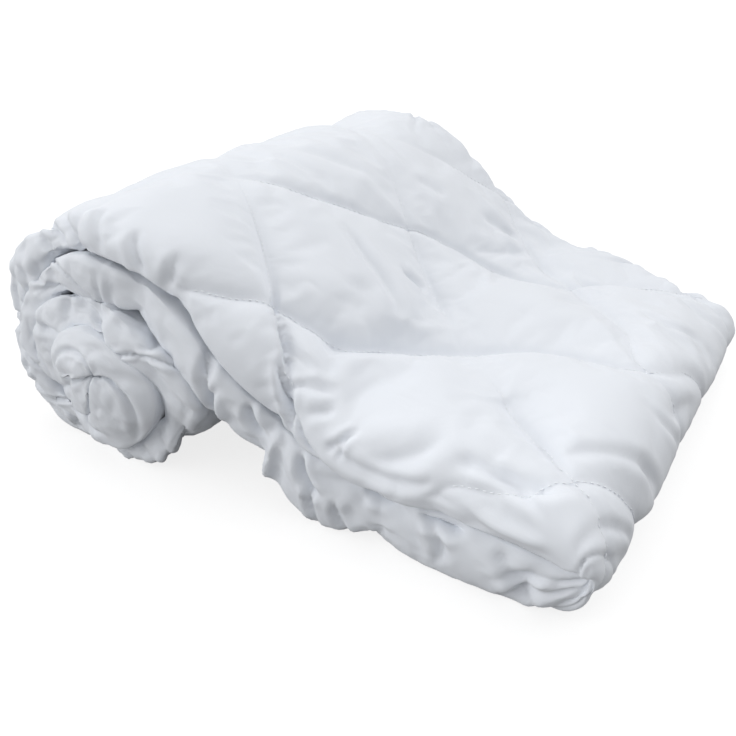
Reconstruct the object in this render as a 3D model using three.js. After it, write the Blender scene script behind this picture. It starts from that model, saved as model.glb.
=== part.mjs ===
// Quilted duvet, folded in three lengthwise, folded over once across and rolled up from its open ends.
// Millimetres, +Z up, +X along the loose tail, origin on the floor under the middle of the box.
// The strip is described by one cross-section (across X and Z) that runs from the top layer's end in
// the core, round the roll, along the tail, over the fold and back as the under layer to its own end.
import * as THREE from "three";

// Folded strip.
const STRIP_WIDTH = 467;
const FRONT_FACE = -252;
const LAYER_GAP = 2;

// Roll.
const CORE_X = -138;
const CORE_Z = 78;
const TOP_LAYER_TURN = 522;
const UNDER_LAYER_TURN = 476;
const TURN_STEP = 2;
const MIN_INNER_RADIUS = 4;

// Fold at the tail's end.
const FOLD_HALF_ANGLE = 84;
const FOLD_ANGLE_STEP = 6;

// Rounding of the rims and of the two layer ends.
const RIM_BASE = 6;
const RIM_PER_HALF_THICKNESS = 0.6;
const RIM_POWER = 2.6;
const LAYER_END_ROUNDING = 16;

// Quilting: two families of seams that cross as diamonds.
const SEAM_PITCH = 202;
const SEAM_SLOPE = 0.83;
const SEAM_OFFSET = { falling: 78, rising: 15 };
const SEAM_HALF_WIDTH = 42;
const SEAM_DEPTH = 10;
const SEAM_DEPTH_LIMIT = 0.42;
const SEAM_SHARPNESS = 2;
const SEAM_RIM_NOTCH = 6;

// The back of the bundle lies lower than its front.
const TAPER = {
  fromY: -60, overY: 270,
  tailFromX: -110, tailOverX: 170, foldFromX: 90, foldOverX: 150,
  rollLower: 0.055, tailLower: 0.17, foldLower: 0.09,
  foldInX: 8, foldInY: 24,
};

// Grid of the faces.
const COLUMN_PITCH = SEAM_PITCH / 8;
const COLUMN_FIRST = 21.25;
const RIM_COLUMNS = [0, 3.5, 10.5];

// The underside is pressed flat on this level.
const FLOOR = 0;

// Tail, from the fold to above the core: place of the line between the layers and their thicknesses.
const TAIL = [
  { x: 214, z: 51.5, above: 46, below: 51 },
  { x: 150, z: 55, above: 44, below: 56.5 },
  { x: 95, z: 58, above: 43.5, below: 60 },
  { x: 55, z: 65, above: 42.5, below: 67 },
  { x: 30, z: 77, above: 41.5, below: 56 },
  { x: 5, z: 92, above: 41, below: 48 },
  { x: -31, z: 123, above: 37, below: 42 },
  { x: -68, z: 153, above: 33, below: 40 },
  { x: -100, z: 171, above: 30, below: 38 },
  { x: -138, z: 178, above: 28, below: 36 },
];

// Top layer in the roll by turned angle. Past 360 it lies against the under layer, so it has no
// radius of its own there.
const TOP_RADIUS = [
  { turn: 0, radius: 129 }, { turn: 45, radius: 131 }, { turn: 90, radius: 121 },
  { turn: 135, radius: 101 }, { turn: 180, radius: 81 }, { turn: 225, radius: 80 },
  { turn: 255, radius: 84 }, { turn: 270, radius: 81 }, { turn: 285, radius: 71 },
  { turn: 300, radius: 62 }, { turn: 315, radius: 54 }, { turn: 330, radius: 53 },
  { turn: 345, radius: 56 }, { turn: 360, radius: 61 },
];
const TOP_THICKNESS = [
  { turn: 0, thickness: 28 }, { turn: 45, thickness: 34 }, { turn: 90, thickness: 27 },
  { turn: 135, thickness: 24 }, { turn: 180, thickness: 17 }, { turn: 225, thickness: 24 },
  { turn: 255, thickness: 28 }, { turn: 270, thickness: 26 }, { turn: 285, thickness: 20 },
  { turn: 300, thickness: 17 }, { turn: 315, thickness: 15 }, { turn: 330, thickness: 15 },
  { turn: 345, thickness: 17 }, { turn: 360, thickness: 20 }, { turn: 405, thickness: 26 },
  { turn: 450, thickness: 25 }, { turn: 465, thickness: 26 }, { turn: 475, thickness: 32 },
  { turn: 485, thickness: 46 }, { turn: 495, thickness: 52 }, { turn: 522, thickness: 40 },
];
// Under layer's inner radius by turned angle.
const UNDER_INNER = [
  { turn: 0, radius: 63 }, { turn: 45, radius: 75 }, { turn: 90, radius: 78 },
  { turn: 135, radius: 63 }, { turn: 150, radius: 55 }, { turn: 160, radius: 47 },
  { turn: 170, radius: 32 }, { turn: 180, radius: 13 }, { turn: 190, radius: 6 },
  { turn: 225, radius: 5 }, { turn: 405, radius: 5 }, { turn: 450, radius: 6 },
  { turn: 480, radius: 8 },
];

// Shift along Y of the strip's front and back faces by path: minus is towards the front.
// Path is 0 at the fold, positive into the top layer and negative into the under layer.
const FACE_SHIFT = [
  { path: -830, front: -18, back: -10 }, { path: -700, front: -14, back: -12 },
  { path: -600, front: 4, back: -20 }, { path: -420, front: 4, back: -22 },
  { path: -250, front: -2, back: -10 }, { path: -60, front: 0, back: 0 },
  { path: 60, front: 0, back: 0 }, { path: 250, front: 0, back: -4 },
  { path: 420, front: -2, back: -22 }, { path: 600, front: -8, back: -26 },
  { path: 860, front: -8, back: -24 }, { path: 930, front: -10, back: -20 },
  { path: 1100, front: -8, back: -16 },
];

// Spacing of the rows along the path.
const ROW_STEPS = [
  { upTo: -690, step: 9 }, { upTo: -380, step: 15.2 }, { upTo: -62, step: 30.4 },
  { upTo: -48, step: 14 }, { upTo: 48, step: 8 }, { upTo: 62, step: 14 },
  { upTo: 400, step: 30.4 }, { upTo: 990, step: 15.2 }, { upTo: Infinity, step: 9 },
];

// Seams wander from the straight lattice in a few places.
const SEAM_DRIFT = [
  { path: 30, across: 205, reach: 60, shift: -45 },
  { path: 150, across: 336, reach: 55, shift: -24 },
  { path: 265, across: 280, reach: 60, shift: 18 },
];

const clamp01 = (t) => Math.min(1, Math.max(0, t));
const smoothstep = (t) => clamp01(t) ** 2 * (3 - 2 * clamp01(t));

// Monotone cubic curve through the rows of a table.
function curve(rows, key, value) {
  const xs = rows.map((row) => row[key]);
  const ys = rows.map((row) => row[value]);
  const last = xs.length - 1;
  const run = xs.slice(1).map((x, i) => x - xs[i]);
  const rise = ys.slice(1).map((y, i) => (y - ys[i]) / run[i]);
  const slope = ys.map(() => 0);
  slope[0] = rise[0];
  slope[last] = rise[last - 1];
  for (let i = 1; i < last; i += 1) {
    if (rise[i - 1] * rise[i] > 0) {
      const before = 2 * run[i] + run[i - 1];
      const after = run[i] + 2 * run[i - 1];
      slope[i] = (before + after) / (before / rise[i - 1] + after / rise[i]);
    }
  }
  return (x) => {
    let i = xs.findIndex((edge) => edge > x) - 1;
    if (i === -2) i = last - 1;
    i = Math.max(0, i);
    const t = clamp01((x - xs[i]) / run[i]);
    return (1 + 2 * t) * (1 - t) ** 2 * ys[i] + t * (1 - t) ** 2 * run[i] * slope[i]
      + t * t * (3 - 2 * t) * ys[i + 1] + t * t * (t - 1) * run[i] * slope[i + 1];
  };
}

// Three-point smoothing that keeps both ends.
function soften(values, passes) {
  let current = values;
  for (let n = 0; n < passes; n += 1) {
    const before = current;
    current = before.map((v, i) => (
      i === 0 || i === before.length - 1 ? v : (before[i - 1] + 2 * v + before[i + 1]) / 4));
  }
  return current;
}

const softenPoints = (points, passes) => {
  const xs = soften(points.map((p) => p[0]), passes);
  const zs = soften(points.map((p) => p[1]), passes);
  return xs.map((x, i) => [x, zs[i]]);
};

// The four lines of the tail: outside and inside of the top layer, the same of the under layer.
function tailLines() {
  const samples = 200;
  const tablePasses = 60;
  const directionPasses = 20;
  let reach = 0;
  const rows = TAIL.map((row, i) => {
    if (i > 0) reach += Math.hypot(row.x - TAIL[i - 1].x, row.z - TAIL[i - 1].z);
    return { ...row, reach };
  });
  const sample = (name) => {
    const read = curve(rows, "reach", name);
    const values = Array.from({ length: samples }, (_, i) => read((reach * i) / (samples - 1)));
    return soften(values, tablePasses);
  };
  const [xs, zs, above, below] = ["x", "z", "above", "below"].map(sample);
  const towards = xs.map((x, i) => {
    if (i === 0 || i === samples - 1) return [-1, 0];
    return [(xs[i + 1] - xs[i - 1]) / 2, (zs[i + 1] - zs[i - 1]) / 2];
  });
  const direction = softenPoints(towards, directionPasses);
  const offset = (distance) => xs.map((x, i) => {
    const length = Math.hypot(...direction[i]);
    const [dx, dz] = direction[i];
    return [x + (dz / length) * distance(i), zs[i] - (dx / length) * distance(i)];
  });
  const half = LAYER_GAP / 2;
  return {
    topOut: offset((i) => half + above[i]),
    topIn: offset(() => half),
    underOut: offset(() => -half),
    underIn: offset((i) => -half - below[i]),
  };
}

// The same four lines round the roll.
function rollLines() {
  const firstTurn = curve(TOP_RADIUS, "turn", "radius");
  const thickness = curve(TOP_THICKNESS, "turn", "thickness");
  const inner = curve(UNDER_INNER, "turn", "radius");
  const outer = (turn) => (turn < 360 ? firstTurn(turn) : inner(turn - 360) - LAYER_GAP);
  const topInner = (turn) => Math.max(outer(turn) - thickness(turn), MIN_INNER_RADIUS);
  const underOuter = (turn) => outer(turn) - thickness(turn) - LAYER_GAP;
  const underInner = (turn) => Math.min(inner(turn), underOuter(turn) - MIN_INNER_RADIUS);
  const wind = (radius, end) => {
    const points = [];
    for (let turn = TURN_STEP; turn <= end; turn += TURN_STEP) {
      const angle = THREE.MathUtils.degToRad(90 + turn);
      points.push([CORE_X + radius(turn) * Math.cos(angle), CORE_Z + radius(turn) * Math.sin(angle)]);
    }
    return points;
  };
  return {
    topOut: wind(outer, TOP_LAYER_TURN),
    topIn: wind(topInner, TOP_LAYER_TURN),
    underOut: wind(underOuter, UNDER_LAYER_TURN),
    underIn: wind(underInner, UNDER_LAYER_TURN),
  };
}

// The fold at the tail's end joins the two layers.
function foldLines() {
  const fold = TAIL[0];
  const out = [];
  const inside = [];
  for (let degrees = FOLD_HALF_ANGLE; degrees >= -FOLD_HALF_ANGLE; degrees -= FOLD_ANGLE_STEP) {
    const angle = THREE.MathUtils.degToRad(degrees);
    const share = (90 - degrees) / 180;
    const radius = LAYER_GAP / 2 + fold.above + (fold.below - fold.above) * share;
    out.push([fold.x + radius * Math.cos(angle), fold.z + radius * Math.sin(angle)]);
    inside.push([fold.x + (LAYER_GAP / 2) * Math.cos(angle), fold.z + (LAYER_GAP / 2) * Math.sin(angle)]);
  }
  return { out, inside };
}

// Middle line and half thickness of the whole strip, with the path measured from the fold.
function stripSection() {
  const joinPasses = 4;
  const tail = tailLines();
  const roll = rollLines();
  const fold = foldLines();
  const top = (name) => [...tail[name], ...roll[name]].reverse();
  const under = (name) => [...tail[name], ...roll[name]];
  const out = softenPoints([...top("topOut"), ...fold.out, ...under("underIn")], joinPasses);
  const inside = softenPoints([...top("topIn"), ...fold.inside, ...under("underOut")], joinPasses);
  let reach = 0;
  const rows = out.map(([ox, oz], i) => {
    const [ix, iz] = inside[i];
    return { x: (ox + ix) / 2, z: (oz + iz) / 2, hx: (ox - ix) / 2, hz: (oz - iz) / 2 };
  });
  rows.forEach((row, i) => {
    if (i > 0) reach += Math.hypot(row.x - rows[i - 1].x, row.z - rows[i - 1].z);
    row.reach = reach;
  });
  const foldRow = tail.topOut.length + roll.topOut.length + Math.floor(fold.out.length / 2);
  const foldReach = rows[foldRow].reach;
  rows.forEach((row) => {
    row.path = foldReach - row.reach;
  });
  return rows.reverse();
}

// A point of the section at a path between its rows.
function sectionAt(section, path) {
  let i = section.findIndex((row) => row.path >= path);
  if (i <= 0) i = i === 0 ? 1 : section.length - 1;
  const before = section[i - 1];
  const after = section[i];
  const t = clamp01((path - before.path) / (after.path - before.path));
  const mix = (name) => before[name] + (after[name] - before[name]) * t;
  return { x: mix("x"), z: mix("z"), hx: mix("hx"), hz: mix("hz") };
}

// 1 on a seam, 0 in the middle of a quilted diamond.
function seamAt(path, across) {
  const drift = SEAM_DRIFT.reduce((sum, row) => {
    const distance = Math.hypot(path - row.path, across - row.across) / row.reach;
    return sum + row.shift * Math.exp(-(distance ** 2));
  }, 0);
  const square = Math.cos(Math.atan(SEAM_SLOPE));
  const depthFrom = (value) => {
    const place = value / SEAM_PITCH;
    const distance = Math.abs(place - Math.round(place)) * SEAM_PITCH * square;
    return clamp01(1 - distance / SEAM_HALF_WIDTH) ** SEAM_SHARPNESS;
  };
  const falling = depthFrom(across + SEAM_SLOPE * path - SEAM_OFFSET.falling - drift);
  const rising = depthFrom(across - SEAM_SLOPE * path - SEAM_OFFSET.rising);
  return Math.max(falling, rising);
}

// Rounded edge profile: 0 at the edge, 1 from the given reach inwards.
function rounding(distance, reach) {
  const t = clamp01((reach - distance) / reach);
  return (1 - t ** RIM_POWER) ** (1 / RIM_POWER);
}

function taper(x, y, z) {
  const share = smoothstep((y - TAPER.fromY) / TAPER.overY);
  const tail = smoothstep((x - TAPER.tailFromX) / TAPER.tailOverX);
  const fold = smoothstep((x - TAPER.foldFromX) / TAPER.foldOverX);
  const lower = 1 - share * (TAPER.rollLower + TAPER.tailLower * tail + TAPER.foldLower * fold);
  return [x - share * TAPER.foldInX * fold, y - share * TAPER.foldInY * fold, z * lower];
}

function rowPaths(first, last) {
  const paths = [first];
  for (let path = first; path < last;) {
    const { step } = ROW_STEPS.find((row) => path < row.upTo);
    path += step;
    if (last - path > step / 2) paths.push(path);
  }
  return [...paths, last];
}

function columnPlaces() {
  const places = [];
  for (let place = COLUMN_FIRST; place < STRIP_WIDTH - RIM_COLUMNS[2]; place += COLUMN_PITCH) {
    places.push(place);
  }
  return [...RIM_COLUMNS, ...places, ...RIM_COLUMNS.map((place) => STRIP_WIDTH - place).reverse()];
}

function duvetGeometry() {
  const section = stripSection();
  const first = section[0].path;
  const last = section[section.length - 1].path;
  const frontShift = curve(FACE_SHIFT, "path", "front");
  const backShift = curve(FACE_SHIFT, "path", "back");
  const paths = rowPaths(first, last);
  const columns = columnPlaces();
  const endOf = columns.length - 1;

  const pointAt = (path, across, side) => {
    const { x, z, hx, hz } = sectionAt(section, path);
    const half = Math.hypot(hx, hz);
    const edge = Math.min(across, STRIP_WIDTH - across);
    const seam = seamAt(path, across);
    const depth = Math.min(SEAM_DEPTH, SEAM_DEPTH_LIMIT * half) / half;
    const full = rounding(edge, RIM_BASE + RIM_PER_HALF_THICKNESS * half)
      * rounding(Math.min(last - path, path - first), LAYER_END_ROUNDING) * (1 - depth * seam);
    const front = FRONT_FACE + frontShift(path);
    const back = FRONT_FACE + STRIP_WIDTH + backShift(path);
    const notch = SEAM_RIM_NOTCH * seam * clamp01(1 - edge / SEAM_HALF_WIDTH);
    const inward = across < STRIP_WIDTH / 2 ? notch : -notch;
    const y = front + ((back - front) * across) / STRIP_WIDTH + inward;
    return taper(x + side * hx * full, y, Math.max(FLOOR, z + side * hz * full));
  };

  const positions = [];
  const place = (point) => {
    positions.push(...point);
    return positions.length / 3 - 1;
  };
  const outside = paths.map((path) => columns.map((across) => place(pointAt(path, across, 1))));
  const inside = paths.map((path, i) => columns.map((across, j) => {
    const onRim = i === 0 || i === paths.length - 1 || j === 0 || j === endOf;
    return onRim ? outside[i][j] : place(pointAt(path, across, -1));
  }));
  const seams = paths.map((path) => columns.map((across) => seamAt(path, across)));

  // Each cell is cut along the diagonal whose ends lie most alike, so that it follows a seam.
  const triangles = [];
  for (let i = 0; i < paths.length - 1; i += 1) {
    for (let j = 0; j < endOf; j += 1) {
      const straight = Math.abs(seams[i][j] - seams[i + 1][j + 1]);
      const crossed = Math.abs(seams[i + 1][j] - seams[i][j + 1]);
      [outside, inside].forEach((grid) => {
        const [a, b, c, d] = [grid[i][j], grid[i + 1][j], grid[i + 1][j + 1], grid[i][j + 1]];
        const faces = straight <= crossed ? [[a, b, c], [a, c, d]] : [[a, b, d], [b, c, d]];
        faces.forEach((face) => triangles.push(...(grid === outside ? [...face].reverse() : face)));
      });
    }
  }

  const geometry = new THREE.BufferGeometry();
  geometry.setAttribute("position", new THREE.Float32BufferAttribute(positions, 3));
  geometry.setIndex(triangles);
  geometry.computeBoundingBox();
  const box = geometry.boundingBox;
  geometry.translate(-(box.min.x + box.max.x) / 2, -(box.min.y + box.max.y) / 2, -box.min.z);
  geometry.computeVertexNormals();
  return geometry;
}

const cover = new THREE.MeshStandardMaterial({ name: "cover", color: 0xe9edf4, roughness: 0.9, metalness: 0 });
const duvet = new THREE.Mesh(duvetGeometry(), cover);
duvet.name = "duvet";

const part = new THREE.Group();
part.name = "rolled_duvet";
part.add(duvet);

export default part;
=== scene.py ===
"""A white quilted duvet, folded to a strip, folded once across and loosely rolled from its open ends.

The section's tables are the same as the part's own solid has, in millimetres. The duvet is laid out on
a fine grid over that section, with more changes near its front than the solid, loosened as cloth between
its pinned seams, creased where the photographed one is, and stitched.
"""

import math

import bpy
import numpy as np
from bpy.props import FloatProperty, FloatVectorProperty, PointerProperty
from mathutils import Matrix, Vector
from mathutils.bvhtree import BVHTree


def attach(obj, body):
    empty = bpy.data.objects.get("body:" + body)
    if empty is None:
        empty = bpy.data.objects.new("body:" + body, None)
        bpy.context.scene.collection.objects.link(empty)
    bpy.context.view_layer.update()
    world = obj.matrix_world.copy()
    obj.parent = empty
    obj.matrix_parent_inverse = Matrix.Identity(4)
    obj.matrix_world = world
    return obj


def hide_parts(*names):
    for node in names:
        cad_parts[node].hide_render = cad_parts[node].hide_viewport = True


bl_info = {
    "name": "Rolled duvet",
    "version": (1, 0, 0),
    "blender": (4, 5, 0),
    "location": "3D View > Sidebar > Duvet",
    "description": "Builds a rolled quilted duvet, its stitching and a plain studio",
    "category": "Object",
}

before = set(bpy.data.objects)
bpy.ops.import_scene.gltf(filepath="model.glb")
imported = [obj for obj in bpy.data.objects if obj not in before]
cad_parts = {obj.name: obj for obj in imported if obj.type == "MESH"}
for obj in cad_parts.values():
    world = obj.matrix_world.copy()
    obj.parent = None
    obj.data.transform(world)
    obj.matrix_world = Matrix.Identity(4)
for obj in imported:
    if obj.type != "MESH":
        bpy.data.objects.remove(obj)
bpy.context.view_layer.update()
BODY = "root"
NODE = "duvet"
MM = 0.001

# Attributes of the cover's points: their place on the strip.
PLACE_NAMES = ("path", "across", "side", "from_front", "from_back")

# Folded strip and roll, in the section's own coordinates.
STRIP_WIDTH = 467.0
FRONT_FACE = -252.0
SECTION_MIDDLE = (1.4, -28.1)
LAYER_GAP = 2.0
CORE = (-138.0, 78.0)
TOP_LAYER_TURN = 522
UNDER_LAYER_TURN = 476
TURN_STEP = 2.0
MIN_INNER_RADIUS = 4.0
FOLD_HALF_ANGLE = 84
FOLD_ANGLE_STEP = 6
TAIL_SAMPLES = 200
TAIL_SMOOTHING = 60
DIRECTION_SMOOTHING = 20
SECTION_SMOOTHING = 4

# Where the layers of the strip are wound up, by path.
TOP_WOUND_FROM = 800.0
UNDER_WOUND_FROM = -380.0
WOUND_FADE = 60.0

# Rounding of the rims and of the two layer ends.
RIM_BASE = 6.0
RIM_PER_HALF_THICKNESS = 0.6
RIM_POWER = 2.6
LAYER_END_ROUNDING = 16.0

# The wound core stands out of the roll's front, and is drawn aside, shrunk and turned there.
CORE_DOME = 13.0
CORE_REACH = 54.0
CORE_DRAW = (7.0, 13.0)
CORE_SHRINK = 0.12
CORE_TWIST = -16
CORE_WARP_REACH = 42.0

# At the front, the gap between the layers runs on into the fold and the turns flare against each other.
FRONT_REACH = 120.0
FOLD_OPENING = 39.0
FOLD_OPENING_REACH = 110.0
FOLD_OPENING_FADE = 85.0
WINDING_FLARE = 3.2
WINDING_FLARE_LIMIT = 0.3
WINDING_FLARE_REACH = 60.0
INNER_FLARE_MIDDLE = 30.0
INNER_FLARE_FROM = 450.0

# The back of the bundle lies lower than its front.
TAPER = {
    "from_y": -60, "over_y": 270,
    "tail_from_x": -110, "tail_over_x": 170, "fold_from_x": 90, "fold_over_x": 150,
    "roll_lower": 0.055, "tail_lower": 0.17, "fold_lower": 0.09, "fold_in_x": 8, "fold_in_y": 24,
}

# Quilting: two families of seams that cross as diamonds.
SEAM_PITCH = 202.0
SEAM_SLOPE = 0.83
SEAM_OFFSET = {"falling": 78.0, "rising": 15.0}
SEAM_TURN = {"falling": 1, "rising": -1}
SEAM_HALF_WIDTH = 42.0
SEAM_SHARPNESS = 2.0
SEAM_DEPTH_LIMIT = 0.42
SEAM_RIM_NOTCH = 6.0
COVERED_SEAM_LOSS = 0.7
FOLD_SEAM_LOSS = 0.85
FOLD_SEAM_REACH = 60.0
SEAM_LINE = 3.5
BULGE_SEAM_REACH = 24.0
HOLDING_SEAM = 0.5

# Stitches: where seams are sewn, and how closely their line is followed.
STITCHED_PATH = (-370.0, 900.0)
STITCHED_STRENGTH = 0.35
STITCH_MARGIN = 4.0
SEAM_NUMBERS = range(-8, 9)
SEAM_SAMPLE = 4.0
SEAM_PASSES = 6
SHORTEST_RUN = 4

# Gathers beside the seams: lengths, and places of a seam's and a side's readings in the random table.
GATHER_SPACING = 11.0
GATHER_REACH = 14.0
GATHER_CLEAR = 4.0
GATHER_FAN = 0.5
GATHER_WAVES = {"fan": 37.0, "long": 41.0, "short": 23.0}
GATHER_READINGS = 4000
GATHER_FIRST = 1500
GATHER_PER_SEAM = 211
GATHER_PER_SIDE = 57
PUCKER_WIDTH = 0.35

# The tables are in millimetres and degrees. Path runs along the strip: 0 at the fold, positive into the
# top layer and negative into the under layer. Across is the distance from the front rim. Girth is the
# distance over the surface from the front rim, positive on the outer face and negative on the inner one.

# Section of the bundle: the tail from the fold to above the core, then each layer round the roll.
TAIL = (
    # x, z, thickness above, thickness below
    (214, 51.5, 46, 51), (150, 55, 44, 56.5), (95, 58, 43.5, 60), (55, 65, 42.5, 67), (30, 77, 41.5, 56),
    (5, 92, 41, 48), (-31, 123, 37, 42), (-68, 153, 33, 40), (-100, 171, 30, 38), (-138, 178, 28, 36),
)
TOP_RADIUS = (
    # turned angle, radius
    (0, 129), (45, 131), (90, 121), (135, 101), (180, 81), (225, 80), (255, 84), (270, 81), (285, 71),
    (300, 62), (315, 54), (330, 53), (345, 56), (360, 61),
)
TOP_THICKNESS = (
    # turned angle, thickness
    (0, 28), (45, 34), (90, 27), (135, 24), (180, 17), (225, 24), (255, 28), (270, 26), (285, 20), (300, 17),
    (315, 15), (330, 15), (345, 17), (360, 20), (405, 26), (450, 25), (465, 26), (475, 32), (485, 46),
    (495, 52), (522, 40),
)
UNDER_INNER = (
    # turned angle, radius
    (0, 63), (45, 75), (90, 78), (135, 63), (150, 55), (160, 47), (170, 32), (180, 13), (190, 6), (225, 5),
    (405, 5), (450, 6), (480, 8),
)
# How far the faces and the seams stray from a regular strip, and the shape of the front rim.
FACE_SHIFT = (
    # path, front, back
    (-830, -20, -10), (-700, -18, -12), (-600, -13, -20), (-430, -9, -22), (-300, -2, -12), (-60, 3, 0),
    (-10, 1, 0), (12, -4, 0), (100, -4, 0), (250, -1, -4), (420, -2, -22), (600, -5, -26), (860, -8, -24),
    (930, -13, -20), (1100, -16, -16),
)
SEAM_DRIFT = (
    # family, path, across, reach, shift
    ("falling", 34, 202, 50, -50), ("falling", 150, 336, 45, -26), ("falling", 265, 275, 50, 20),
    ("falling", 229, 77, 25, -14), ("falling", 50, 20, 36, -18), ("falling", 294, 49, 25, 12),
    ("falling", 100, 2, 22, 9), ("rising", 30, 204, 50, -40), ("rising", 146, 345, 40, 7),
)
RIM = (
    # path, level of the rim in the layer's thickness, reach of its outer and of its inner rounding
    (-830, 0.0, 4, 4), (-640, 0.0, 5, 5), (-540, -0.3, 12, 7), (-430, -0.1, 9, 7), (-300, 0.1, 9, 8),
    (-200, 0.1, 16, 8), (-60, 0.1, 20, 7), (-20, 0.05, 24, 7), (0, -0.2, 24, 6), (15, -0.6, 34, 6),
    (30, -0.7, 44, 6), (60, -0.75, 50, 6), (300, -0.7, 52, 6), (380, -0.7, 42, 7), (440, -0.5, 20, 7),
    (600, -0.5, 14, 7), (730, -0.2, 10, 6), (800, 0.2, 8, 6), (940, 0.0, 6, 5), (1100, 0.0, 4, 4),
)

# Spacing of the grid's rows along the path, and of its columns across.
ROW_STEPS = (
    # up to path, step
    (-30, 4.6), (470, 3.8), (880, 6.5), (1400, 4.6),
)
RIM_COLUMNS = 12
OUTER_COLUMN_STEP = 5.5
INNER_COLUMN_STEP = 12.0
FRONT_STEP_SHARE = 0.62

# Where the filling hides a seam, and where it stands highest.
SEAM_FADE = (
    # family, path, across, reach, share lost
    ("rising", 150, 140, 80, 1.0), ("rising", 90, 275, 80, 0.6), ("falling", 60, 400, 60, 0.4),
    ("rising", 430, 165, 80, 1.0), ("falling", 430, 130, 60, 1.0), ("rising", 370, 320, 65, 1.0),
    ("falling", 400, 350, 70, 0.9), ("falling", 300, 430, 80, 0.6), ("rising", 250, 430, 70, 0.5),
)
BULGES = (
    # path, across, reach along, reach across, height
    (236, 122, 50, 60, 9), (160, 250, 60, 50, 5), (110, 90, 70, 60, 4), (30, 90, 45, 60, 3),
    (880, 20, 60, 45, 6),
)

# Single folds, listed one by one. A negative depth is a ridge. Pleats are seeded across the front and back
# rims.
FOLDS = (
    # from path, from girth, to path, to girth, bow, width, depth, lean
    (312, 178, 226, 146, -5, 6.5, 5, 0), (258, 198, 229, 204, 3, 5, 4, 0), (268, 142, 240, 112, 0, 13, 4, 0),
    (272, 51, 229, 36, 0, 3, 4.5, 0), (256, 38, 229, 29, 0, 2.6, 3, 0), (236, 17, 206, 44, 0, 3.2, 4, 0),
    (212, 14, 196, 34, 0, 3.2, 2.5, 0), (237, 92, 218, 40, 6, 9, 4, 0), (253, 31, 214, -5, 0, 2.4, 10, 0),
    (300, 76, 222, 6, -3, 2.2, 5, 2), (225, 8, 181, -9, 0, 2.6, 6, 0), (185, 8, 171, 33, 0, 2.6, 4, 0),
    (176, 7, 175, 25, 0, 2.4, 3, 0),
    (158, 19, 113, 44, 6, 11, 6, 0), (96, 32, 46, 34, -3, 4.5, 5, 2), (72, 37, 30, 57, 2, 4, 4, 2),
    (43, 85, -5, 119, -4, 5, 3, 0), (84, 6, 47, 12, 4, 5, -4, 0), (14, 38, -3, 60, 0, 3, 3, 0),
    (26, 14, 12, 52, 3, 3.5, 1.5, 0), (8, 12, -6, 50, 2, 3, 2, 0), (-8, 6, -24, 40, 0, 3.5, 2.5, 0),
    (-22, -8, -40, 34, 0, 4, 3.5, 0), (-34, -12, -58, 22, 3, 4, 3, 0), (-28, -24, -70, 2, 4, 4, 3, 0),
    (140, 395, 90, 394, 4, 5, 4, 0), (96, 394, 24, 458, 0, 6, 3, 0), (40, 420, 4, 388, 0, 5, 3, 0),
    (58, 327, 20, 337, 0, 6, 3, 0), (20, 168, 1, 176, 3, 5, 3, 0), (14, 178, 6, 234, 0, 5, 3, 0),
    (405, 240, 344, 270, 0, 8, 2.5, 0),
    (328, 321, 302, 340, 0, 7, 3, 0), (272, 383, 229, 413, 0, 8, 4, 0), (239, 328, 212, 417, 5, 8, 3.5, 0),
    (259, 461, 203, 481, 0, 8, 3, 0), (250, 198, 227, 197, 0, 6, 2.5, 0), (463, 26, 428, -10, 0, 4, 4, 0),
    (426, 34, 409, 2, 2, 3.5, 3, 1.5), (390, 26, 370, 0, 2, 3.5, 4, 2), (357, 26, 347, 0, 0, 3.5, 3, 1.5),
    (-332, -26, -286, 20, 5, 4.5, 7, 0), (-320, -8, -288, 18, -4, 3.5, -4, 0),
    (-250, -20, -236, 30, 3, 4, -5, 0), (-284, -20, -262, -6, 3, 4, 8, 0), (-226, -26, -200, -6, 3, 4, 9, 0),
    (-208, -10, -196, 28, 2, 3, 6, 0), (-187, -8, -172, 26, 3, 3.2, 4.5, 0),
    (-203, -24, -118, -18, -5, 8, 4, 0), (-115, -26, -102, 10, -6, 4.5, 5, 0),
    (-74, -26, -50, 2, 3, 4.5, 5, 0), (186, 12, 108, 11, 2, 4, 4, 0), (-58, -22, -45, 20, 3, 5, 6, 0),
    (-164, -25, -142, -25, 0, 5, 10, 0), (-117, -27, -92, -26, 0, 5, 12, 0),
    (529, 14, 545, -12, 2, 2.8, 4.5, 0), (492, 20, 474, -14, -2, 2.8, 4.5, 0),
    (551, 12, 562, -15, 0, 2.5, 4, 0), (577, 12, 564, -14, 2, 2.8, 4.5, 0), (626, 12, 596, -12, 3, 3, 5, 0),
    (690, 6, 676, -12, 2, 3, 4.5, 0), (714, 8, 706, -10, 0, 2.8, 4, 0), (756, 8, 748, -8, 0, 2.8, 4, 0),
    (787, 14, 799, -6, 2, 3, 4.5, 0),
    (-514, -6, -475, 12, 3, 3, 4, 0), (937, 28, 941, 4, 2, 3, 4, 0), (901, 24, 897, 4, -2, 3, 4, 0),
    (-310, -12, -296, 22, 2, 3.5, 5, 0), (-252, 2, -240, 28, 0, 3, -4, 0),
)
FRONT_PLEATS = (
    # from path, to path, spacing, width, depth, reach
    (-835, -400, 46, 3.5, 4.5, 20), (-60, 20, 22, 3.5, 3, 30), (420, 560, 44, 4, 4, 26),
    (560, 1110, 42, 3.5, 4.5, 20),
)
BACK_PLEATS = (
    # from path, to path, spacing, width, depth, reach
    (-835, -300, 50, 4, 3.5, 24), (-300, 20, 50, 4, 3.5, 30), (20, 460, 36, 4.5, 4, 34),
    (460, 1110, 50, 4, 3.5, 24),
)

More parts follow.
